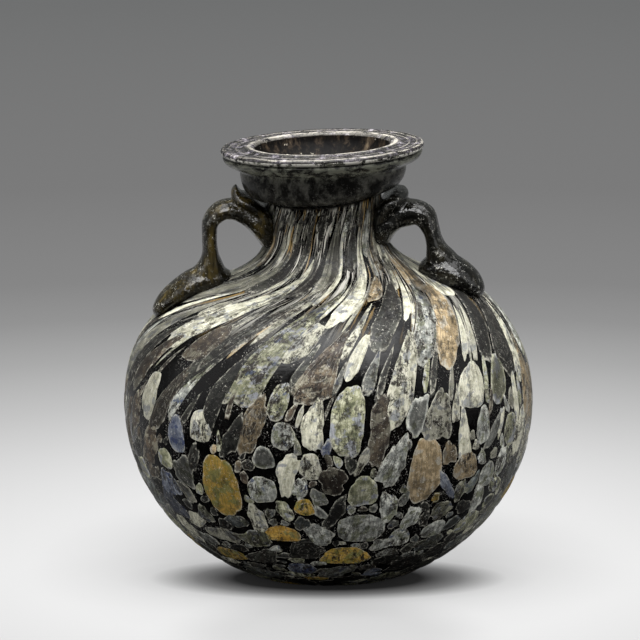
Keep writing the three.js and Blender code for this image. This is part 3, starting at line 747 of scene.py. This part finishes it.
def chip_glass(name, main, deep, light, second, pitting):
    material, tree = new_material(name + "_opaque_glass")
    place = object_place(tree)
    flow, local = (attribute(tree, key, "Vector") for key in ("flow", "local"))
    rim, seed, tone = (attribute(tree, key) for key in ("rim", "seed", "tone"))
    clouds = grain(tree, place, 1.9, 6.0, 0.68)
    colour = ramp(tree, clouds, [(0.34, deep), (0.46, main), (0.6, light)])
    patch = ramp(tree, grain(tree, local, 2.2, 5.0, 0.6, unit=1), [(0.54, 0.0), (0.57, 0.9)])
    colour = mix(tree, patch, colour, second)
    if name in PATCHED:
        cobalt = ramp(tree, grain(tree, local, 2.4, 3.0, 0.5, unit=1), [(0.6, 0.0), (0.63, 0.85)])
        cobalt = times(tree, cobalt, ramp(tree, seed, [(0.55, 0.0), (0.6, 1.0)]))
        colour = mix(tree, cobalt, colour, "#30426B")
    veins = noise(tree, scaled_vector(tree, local, (0.16, 1.5, 1.0)), 1.0, 4.0, 0.6)
    colour = mix(tree, ramp(tree, veins, [(0.44, 0.0), (0.5, 0.6), (0.56, 0.0)]), colour, deep)
    shade = ramp(tree, tone, [(0.0, 0.26), (0.3, 0.5), (0.48, 0.95), (1.0, 1.24)], smooth=False)
    colour = mix(tree, 1.0, colour, shade, "MULTIPLY")
    if name in CLEARER:
        clear = ramp(tree, seed, [(0.0, 0.9), (0.2, 0.6), (0.3, 0.0)])
        clear = times(tree, clear, ramp(tree, rim, [(0.25, 0.0), (0.7, 1.0)]))
        colour = mix(tree, clear, colour, "#12110F")
    rise = node(tree, "ShaderNodeSeparateXYZ", links={0: flow}).outputs["Z"]
    low = between(tree, rise, meridian_length * 0.5, meridian_length * 0.32)
    etched = ramp(tree, seed, [(0.15, 0.15), (0.45, 0.6), (0.65, 1.0)], smooth=False)
    etched = maths(tree, "MAXIMUM", etched, low)
    rotten = ramp(tree, grain(tree, place, 3.0, 3.0), [(0.43, 0.1), (0.53, 1.0)])
    rotten = times(tree, etched, maths(tree, "MAXIMUM", rotten, times(tree, low, 0.7)))
    along_chip = scaled_vector(tree, local, (0.4, 1.0, 1.0))
    grime = ramp(tree, grain(tree, along_chip, 0.9, 7.0, 0.75, unit=1),
                 [(0.56 - 0.07 * pitting, 0.0), (0.6 - 0.07 * pitting, 1.0)])
    grime = times(tree, grime, maths(tree, "ADD", times(tree, rotten, 0.9), 0.08))
    colour = mix(tree, grime, colour, "#231C14")
    pits = ramp(tree, grain(tree, place, 0.42, 4.0, 0.85),
                [(0.59 - 0.08 * pitting, 0.0), (0.64 - 0.08 * pitting, 1.0)])
    pits = times(tree, pits, maths(tree, "ADD", times(tree, rotten, 0.9), 0.1))
    colour = mix(tree, pits, colour, "#0A0807")
    flecks = ramp(tree, grain(tree, place, 0.5, 5.0, 0.85), [(0.37, 0.8), (0.42, 0.0)])
    flecks = times(tree, flecks, ramp(tree, grain(tree, place, 2.6, 2.0), [(0.42, 0.1), (0.56, 1.0)]))
    colour = mix(tree, flecks, colour, "#CFCCC0")
    broken = ramp(tree, grain(tree, place, 0.9, 6.0, 0.75), [(0.46, 0.0), (0.55, 0.85)])
    edge = ramp(tree, rim, [(0.04, 0.0), (0.13, 1.0), (0.3, 0.12), (0.5, 0.0)])
    ripple = ramp(tree, maths(tree, "SINE", times(tree, rim, 8.5)), [(0.8, 0.0), (0.98, 0.4)])
    ripple = times(tree, ripple, ramp(tree, seed, [(0.6, 0.0), (0.66, 1.0)]))
    lines = times(tree, maths(tree, "MAXIMUM", edge, ripple), broken)
    colour = mix(tree, lines, colour, "#B9B6A8")
    drawn = ramp(tree, threads(tree, flow, 1.5, 16.0), [(0.52, 0.0), (0.57, 1.0)])
    upper = between(tree, rise, meridian_length * 0.66, meridian_length * 0.86, end=0.75)
    colour = mix(tree, times(tree, drawn, upper), colour, "#15110F")
    fine = ramp(tree, threads(tree, flow, 0.6, 20.0), [(0.49, 0.0), (0.54, 1.0)])
    neck = between(tree, rise, meridian_length * 0.84, meridian_length * 0.98, end=0.75)
    colour = mix(tree, times(tree, fine, neck), colour, "#100D0B")
    height = maths(tree, "SUBTRACT", times(tree, clouds, 0.4), maths(tree, "MAXIMUM", pits, grime))
    finish_glass(tree, colour, ramp(tree, clouds, [(0.35, 0.38), (0.7, 0.65)]), height, 0.08, 0.3)
    return material


for glass, (main, deep, light, second, pitting) in GLASS_COLOURS.items():
    points, faces, layers = [], [], {"rim": [], "seed": [], "tone": [], "local": [], "flow": []}
    start = 0
    for chip in (c for c in chips if c["glass"] == glass):
        chip_points, chip_faces, chip_layers = chip_mesh(chip, start)
        start += len(chip_points)
        points.append(chip_points)
        faces.extend(chip_faces)
        for key, values in chip_layers.items():
            layers[key].append(values)
    piece = new_object(glass + "_chips", np.vstack(points), faces,
                       {key: np.concatenate(values) for key, values in layers.items()})
    piece.data.materials.append(chip_glass(glass, main, deep, light, second, pitting))
    own = [name for name in chip_nodes if name.startswith(glass)]
    if own:
        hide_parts(*own)
    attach(piece, "root")


# The handles: a blob of dark olive glass set on the shoulder and tooled to a toe, drawn up as
# a strap, bent in to the neck, pressed round it as a pad, and its end folded out at the collar.
# Each is three lofts of rounded sections, fused and softened as hot glass runs together.
TRAIL_SIDES = 36
PAD_SINK = 1.2
PAD_BREADTH = 11.8
STRAP = 3.1
STRAP_BREADTH = 8.3
STRAP_SQUARENESS = 2.4
WRAP = 3.6
WRAP_BREADTH = 12.0
WRAP_FOOT_DROP = 2.9
PAD_FORM = [(0, 0.1, 0.4), (0.1, 0.5, 0.75), (0.3, 0.8, 1), (0.6, 1, 0.95), (0.84, 0.75, 0.8),
            (1, 0.2, 0.5)]
LEFT_WRAP = [(0, -0.03, 0.2, 0.3), (0.2, 0.1, 0.42, 0.47), (0.45, 0.16, 0.52, 0.52),
             (0.66, 0.27, 0.52, 0.5), (0.82, 0.61, 0.45, 0.46), (0.94, 1.1, 0.35, 0.36),
             (1.07, 1.3, 0.18, 0.18)]
RIGHT_WRAP = [(-0.05, -0.03, 0.2, 0.32), (0.2, 0.12, 0.45, 0.5), (0.42, 0.18, 0.55, 0.55),
              (0.63, 0.35, 0.6, 0.6), (0.77, 0.68, 0.53, 0.62), (0.83, 0.86, 0.33, 0.55),
              (0.87, 0.92, 0.14, 0.4)]
LEFT_STRAP = [(1.09, -0.05, 1.68, 0.6), (1.05, 0.09, 1.39, 0.58), (1.01, 0.24, 0.9, 0.54),
              (1, 0.4, 0.53, 0.51), (1, 0.61, 0.48, 0.49), (0.96, 0.83, 0.56, 0.49),
              (0.76, 1, 0.81, 0.51), (0.49, 1, 0.88, 0.53), (0.25, 0.87, 0.87, 0.65),
              (0.08, 0.65, 0.61, 0.75), (0.03, 0.48, 0.29, 0.6)]
RIGHT_STRAP = [(1.17, -0.06, 1.68, 0.63), (1.16, 0.08, 1.48, 0.6), (1.12, 0.26, 1.06, 0.55),
               (1.05, 0.42, 0.68, 0.52), (1, 0.58, 0.48, 0.49), (0.94, 0.75, 0.52, 0.49),
               (0.8, 0.94, 0.78, 0.49), (0.56, 1, 0.93, 0.52), (0.31, 0.96, 0.92, 0.65),
               (0.12, 0.78, 0.61, 0.8), (0.03, 0.57, 0.29, 0.65)]
HANDLES = {
    "left": {"node": "handle_left", "azimuth": -88, "toe": 0.732, "heel": 0.89, "foot": 0.844,
             "strap": LEFT_STRAP, "wrap": LEFT_WRAP, "pad": 4.3, "reach": 24.2, "drop": 4.05},
    "right": {"node": "handle_right", "azimuth": 82, "toe": 0.78, "heel": 0.895, "foot": 0.85,
              "strap": RIGHT_STRAP, "wrap": RIGHT_WRAP, "pad": 5.0, "reach": 22.8, "drop": 6.55},
}


def smooth_path(stations, steps):
    """A Catmull-Rom curve through rows of numbers."""
    rows_in = np.asarray(stations, float)
    padded = np.vstack([2 * rows_in[0] - rows_in[1], rows_in, 2 * rows_in[-1] - rows_in[-2]])
    t = np.linspace(0, len(rows_in) - 1, steps)
    i = np.minimum(t.astype(int), len(rows_in) - 2)
    f = (t - i)[:, None]
    a, b, c, d = padded[i], padded[i + 1], padded[i + 2], padded[i + 3]
    curved = (2 * a - 5 * b + 4 * c - d) * f ** 2 + (3 * b - a - 3 * c + d) * f ** 3
    return 0.5 * (2 * b + (c - a) * f + curved)


def trail(stations, steps, squareness, start):
    """A closed tube. Stations hold reach, height, half depth, and half breadth round the axis."""
    path = smooth_path(stations, steps)
    tangent = np.gradient(path[:, :2], axis=0)
    tangent /= np.linalg.norm(tangent, axis=1)[:, None]
    a = np.arange(TRAIL_SIDES) * 2 * math.pi / TRAIL_SIDES
    across, side = (np.sign(v) * np.abs(v) ** (2 / squareness) for v in (np.cos(a), np.sin(a)))
    depth = path[:, 2:3] * across
    reach = path[:, 0:1] + tangent[:, 1:2] * depth
    height = path[:, 1:2] - tangent[:, 0:1] * depth
    turn = path[:, 3:4] * side / path[:, 0:1]
    points = np.stack([reach * np.cos(turn), reach * np.sin(turn), height], axis=-1).reshape(-1, 3)
    ends = [(path[0, 0], 0, path[0, 1]), (path[-1, 0], 0, path[-1, 1])]
    first, last = start + len(points), start + len(points) + 1
    top = start + (steps - 1) * TRAIL_SIDES
    faces = []
    for i in range(steps - 1):
        for k in range(TRAIL_SIDES):
            after = (k + 1) % TRAIL_SIDES
            low, high = start + i * TRAIL_SIDES, start + (i + 1) * TRAIL_SIDES
            faces.append((low + k, low + after, high + after, high + k))
    for k in range(TRAIL_SIDES):
        after = (k + 1) % TRAIL_SIDES
        faces.append((first, start + after, start + k))
        faces.append((last, top + k, top + after))
    return np.vstack([points, ends]), faces


def handle_stations(h):
    pad = []
    for t, rise, broad in PAD_FORM:
        place, normal = on_meridian((h["toe"] + (h["heel"] - h["toe"]) * t) * meridian_length)
        up = h["pad"] * rise
        centre = place + normal * (up - PAD_SINK) / 2
        pad.append((*centre, (up + PAD_SINK) / 2, PAD_BREADTH / 2 * broad))
    foot = on_meridian(h["foot"] * meridian_length)[0]
    top = COLLAR_BOTTOM - h["drop"]
    span = h["reach"] - STRAP / 2 - NECK_RADIUS
    strap = [(NECK_RADIUS + span * out, foot[1] + (top - foot[1]) * up, STRAP * depth,
              STRAP_BREADTH * breadth) for out, up, depth, breadth in h["strap"]]
    low = BELLY_HEIGHT + NECK_RISE - WRAP_FOOT_DROP
    wrap = [(NECK_RADIUS + (COLLAR_RADIUS - NECK_RADIUS) * out, low + (COLLAR_BOTTOM - low) * up,
             WRAP * depth, WRAP_BREADTH * breadth) for up, out, depth, breadth in h["wrap"]]
    return (pad, 60, 2), (strap, 150, STRAP_SQUARENESS), (wrap, 80, STRAP_SQUARENESS)


def keep_in_wall(points, deepest=0.4):
    """Draws back what lies deeper than `deepest` in the wall, so that none shows inside."""
    line = np.vstack([bubble, rim])
    normals = line_normals(line)
    radius = np.hypot(points[:, 0], points[:, 1])
    flat = np.stack([radius, points[:, 2]], axis=1)
    nearest = np.argmin(((flat[:, None] - line[None]) ** 2).sum(axis=2), axis=1)
    depth = ((line[nearest] - flat) * normals[nearest]).sum(axis=1)
    push = np.clip(depth - deepest, 0, None)[:, None] * normals[nearest]
    scale = 1 + push[:, 0] / np.maximum(radius, 1e-6)
    return np.stack([points[:, 0] * scale, points[:, 1] * scale, points[:, 2] + push[:, 1]], axis=1)


# Trails of dark glass: olive and amber where thin, because they let a little light through,
# and nearly black where thick. The left one is the more olive. A thin grey film lies on both,
# and pale specks sit in the hollows: partly dust, partly painted glints of the lamps.
def handle_glass():
    material, tree = new_material("olive_trail_glass")
    place = object_place(tree)
    clouds = grain(tree, place, 4.0, 5.0, 0.65)
    colour = ramp(tree, clouds, [
        (0.34, "#040403"), (0.52, "#0B0A07"), (0.66, "#1D1A10"), (0.8, "#3A321C")])
    side = node(tree, "ShaderNodeSeparateXYZ", links={0: place}).outputs["X"]
    left = between(tree, side, -6 * MM, -14 * MM)
    honey = ramp(tree, grain(tree, place, 6.0, 2.0, 0.5), [(0.4, 0.1), (0.62, 0.9)])
    streaks = grain(tree, scaled_vector(tree, place, (1.0, 1.0, 0.16)), 1.8, 4.0, 0.6)
    tint = ramp(tree, streaks, [
        (0.34, "#0E0B06"), (0.5, "#27210F"), (0.62, "#4B4020"), (0.74, "#6E6138")])
    colour = mix(tree, times(tree, honey, left), colour, tint)
    film = ramp(tree, grain(tree, place, 1.3, 7.0, 0.78), [(0.54, 0.0), (0.72, 0.7)])
    colour = mix(tree, film, colour, "#6E6D66")
    # Pale specks: partly dust, partly painted glints of the lamps on the trails
    dust_zone = ramp(tree, grain(tree, place, 3.4, 2.0), [(0.44, 0.0), (0.54, 1.0)])
    dust = ramp(tree, grain(tree, place, 0.7, 5.0, 0.85), [(0.59, 0.0), (0.63, 1.0)])
    dust = times(tree, dust, dust_zone)
    colour = mix(tree, dust, colour, "#DCD9CF")
    lumps = ramp(tree, grain(tree, place, 1.7, 3.0, 0.55), [(0.42, 0.0), (0.58, 1.0)])
    height = maths(tree, "ADD", maths(tree, "ADD", streaks, lumps), maths(tree, "ADD", film, dust))
    finish_glass(tree, colour, ramp(tree, film, [(0.0, 0.07), (0.4, 0.35)]), height, 0.05, 0.4)
    return material


trail_material = handle_glass()
VOXEL = 0.24
SOFTEN_FACTOR = 0.6
SOFTEN_TIMES = 12
for side, h in HANDLES.items():
    points, faces = [], []
    for stations, steps, squareness in handle_stations(h):
        part_points, part_faces = trail(stations, steps, squareness, sum(len(p) for p in points))
        points.append(part_points)
        faces.extend(part_faces)
    points = np.vstack(points)
    turn = math.radians(h["azimuth"] - 90)
    x, y, z = points.T
    turned = np.stack([x * math.cos(turn) - y * math.sin(turn),
                       x * math.sin(turn) + y * math.cos(turn), z], axis=1)
    piece = new_object("trail_handle_" + side, turned, faces)
    bpy.context.view_layer.objects.active = piece
    remesh = piece.modifiers.new("fuse", "REMESH")
    remesh.mode = "VOXEL"
    remesh.voxel_size = VOXEL * MM
    soften = piece.modifiers.new("soften", "SMOOTH")
    soften.factor = SOFTEN_FACTOR
    soften.iterations = SOFTEN_TIMES
    for modifier in ("fuse", "soften"):
        bpy.ops.object.modifier_apply(modifier=modifier)
    fused = np.zeros(len(piece.data.vertices) * 3)
    piece.data.vertices.foreach_get("co", fused)
    fused = worked(keep_in_wall(fused.reshape(-1, 3) / MM)) * MM
    piece.data.vertices.foreach_set("co", fused.ravel())
    piece.data.polygons.foreach_set("use_smooth", [True] * len(piece.data.polygons))
    piece.data.update()
    piece.data.materials.append(trail_material)
    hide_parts(h["node"])
    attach(piece, "root")


# The studio: a sweep of paper, pale in front and falling off to grey behind; these tones are
# painted light falloff. Most of its tone is a glow that the camera sees, and glass that mirrors
# the paper behind, as of paper lit on its own. A painted shadow dims the glow where the flask
# stands near over it, and a painted reflection of the flask dims it a little more in front,
# where the paper mirrors the flask. The lamps and the flask's real shadow do the rest.
FLOOR_HALF = 3.0
# Painted light falloff: the paper's seen tones, pale near the flask and grey far from it; the lamps' own
# falloff is divided out below
PAPER_TONES = [(0.06, "#EFEFEF"), (0.11, "#D9D9D9"), (0.15, "#C4C4C4"), (0.2, "#AAAAAA"),
               (0.25, "#939393"), (0.3, "#868686"), (0.45, "#7A7A7A"), (0.9, "#707171")]
LAMP_SHARE = 0.3
PAINTED_SHADOW_MIDDLE = (0.0, -0.011, 0.0)
PAINTED_SHADOW_HALF = (0.033, 0.0155, 1.0)
GLOW_SHARES = [(0.55, 0.01), (0.78, 0.18), (0.9, 0.36), (1.06, 0.62), (1.25, 0.67), (1.9, 0.7)]
PAINTED_REFLECTION_MIDDLE = (0.0, -0.052, 0.0)
PAINTED_REFLECTION_HALF = (0.034, 0.032, 1.0)
LAMPS_REACH = 0.64
LAMPS_LEVEL = 2.25
BEHIND_FROM = -0.02
BEHIND_TO = 0.1
floor_corners = np.array([(-1, -1, 0), (1, -1, 0), (1, 1, 0), (-1, 1, 0)]) * FLOOR_HALF / MM
floor = new_object("studio_floor", floor_corners, [(0, 1, 2, 3)])
floor_material, tree = new_material("paper_sweep")
place = object_place(tree)
distance = node(tree, "ShaderNodeVectorMath", {"operation": "LENGTH"}, {0: place}).outputs["Value"]
tone = ramp(tree, distance, PAPER_TONES, smooth=False)


def ellipse(tree, place, middle, half):
    """How far out a point lies, where 1 is on the ellipse."""
    moved = node(tree, "ShaderNodeVectorMath", {"operation": "SUBTRACT", 1: middle}, {0: place})
    scaled = node(tree, "ShaderNodeVectorMath", {"operation": "DIVIDE", 1: half}, {0: moved.outputs[0]})
    length = node(tree, "ShaderNodeVectorMath", {"operation": "LENGTH"}, {0: scaled.outputs[0]})
    return length.outputs["Value"]


# Painted shadow: the glow is dimmed in an ellipse round the flask's foot, a little forward of it
painted_shadow_distance = ellipse(tree, place, PAINTED_SHADOW_MIDDLE, PAINTED_SHADOW_HALF)
glow = ramp(tree, times(tree, painted_shadow_distance, 0.5), [(at / 2, share) for at, share in GLOW_SHARES], smooth=False)
# Painted reflection: the glow is a little dimmer in front, where the dark flask is mirrored in the paper
painted_flask_reflection = ramp(tree, ellipse(tree, place, PAINTED_REFLECTION_MIDDLE, PAINTED_REFLECTION_HALF), [(0.5, 0.78), (1.0, 1.0)])
glow = mix(tree, 1.0, glow, painted_flask_reflection, "MULTIPLY")
reach = maths(tree, "DIVIDE", distance, LAMPS_REACH)
falloff = maths(tree, "DIVIDE", maths(tree, "ADD", times(tree, reach, reach), 1.0), LAMPS_LEVEL)
share = times(tree, falloff, LAMP_SHARE)
paper = node(tree, "ShaderNodeBsdfDiffuse", links={"Color": mix(tree, 1.0, tone, share, "MULTIPLY")})
glowing = node(tree, "ShaderNodeEmission", links={"Color": mix(tree, 1.0, tone, glow, "MULTIPLY")})
seen = node(tree, "ShaderNodeAddShader", links={0: paper.outputs[0], 1: glowing.outputs[0]})
light_path = node(tree, "ShaderNodeLightPath")
depth = node(tree, "ShaderNodeSeparateXYZ", links={0: place}).outputs["Y"]
behind = between(tree, depth, BEHIND_FROM, BEHIND_TO)
mirrored = times(tree, light_path.outputs["Is Glossy Ray"], behind)
shown = maths(tree, "MAXIMUM", light_path.outputs["Is Camera Ray"], mirrored)
bounce = node(tree, "ShaderNodeBsdfDiffuse",
              links={"Color": mix(tree, light_path.outputs["Is Glossy Ray"], "#959595", "#242424")})
both = node(tree, "ShaderNodeMixShader", links={0: shown, 1: bounce.outputs[0], 2: seen.outputs[0]})
node(tree, "ShaderNodeOutputMaterial", links={"Surface": both.outputs[0]})
floor.data.materials.append(floor_material)

# The room is dim grey, and a little paler where the glass mirrors it
world = bpy.data.worlds.new("studio")
bpy.context.scene.world = world
world.use_nodes = True
tree = world.node_tree
tree.nodes.clear()
sees = node(tree, "ShaderNodeLightPath")
wall = mix(tree, sees.outputs["Is Glossy Ray"], "#404040", "#717371")
ambient = node(tree, "ShaderNodeBackground", links={"Color": wall})
node(tree, "ShaderNodeOutputWorld", links={"Surface": ambient.outputs[0]})


# Four softboxes: a broad one over the front gives the sheen on the rim and the shoulder, one
# on each side draws the edges of the belly, and one behind keeps the disc's far edge clear.
LAMP_AIM = (0, 0, 0.04)


def softbox(name, place, width, depth, power):
    light = bpy.data.lights.new(name, "AREA")
    light.shape = "RECTANGLE"
    light.size = width
    light.size_y = depth
    light.energy = power
    lamp = bpy.data.objects.new(name, light)
    bpy.context.collection.objects.link(lamp)
    lamp.location = place
    direction = np.array(LAMP_AIM) - np.array(place)
    lamp.rotation_mode = "QUATERNION"
    lamp.rotation_quaternion = Vector(direction).to_track_quat("-Z", "Y")
    return lamp


SIDE_AZIMUTH = math.radians(80)
SIDE_ELEVATION = math.radians(30)
SIDE_DISTANCE = 0.95
SIDE_POWER = 2.0
OVERHEAD_POWER = 18.0
REAR_POWER = 5.0
for name, sign in (("left_softbox", -1), ("right_softbox", 1)):
    place = np.array([sign * math.sin(SIDE_AZIMUTH) * math.cos(SIDE_ELEVATION),
                      -math.cos(SIDE_AZIMUTH) * math.cos(SIDE_ELEVATION), math.sin(SIDE_ELEVATION)])
    softbox(name, place * SIDE_DISTANCE, 0.7, 0.9, SIDE_POWER)
softbox("overhead_softbox", (0.0, -0.27, 0.88), 1.0, 0.6, OVERHEAD_POWER)
softbox("rear_softbox", (0.0, 0.34, 0.86), 1.0, 0.6, REAR_POWER)

# The camera stands 0.8 m away and looks down at 11.5 degrees, as the photograph's did.
CAMERA_DISTANCE = 0.8
CAMERA_ELEVATION = math.radians(11.5)
CAMERA_AIM = (-0.00165, 0.0, 0.04927)
FRAME_WIDTH = 0.1253
SENSOR = 36.0
camera = bpy.data.objects.new("camera", bpy.data.cameras.new("camera"))
bpy.context.collection.objects.link(camera)
camera.data.sensor_width = SENSOR
camera.data.lens = SENSOR * CAMERA_DISTANCE / FRAME_WIDTH
back = Vector((0, -math.cos(CAMERA_ELEVATION), math.sin(CAMERA_ELEVATION)))
camera.location = Vector(CAMERA_AIM) + back * CAMERA_DISTANCE
camera.rotation_mode = "QUATERNION"
camera.rotation_quaternion = (-back).to_track_quat("-Z", "Y")
bpy.context.scene.camera = camera
bpy.context.scene.view_settings.view_transform = "Standard"
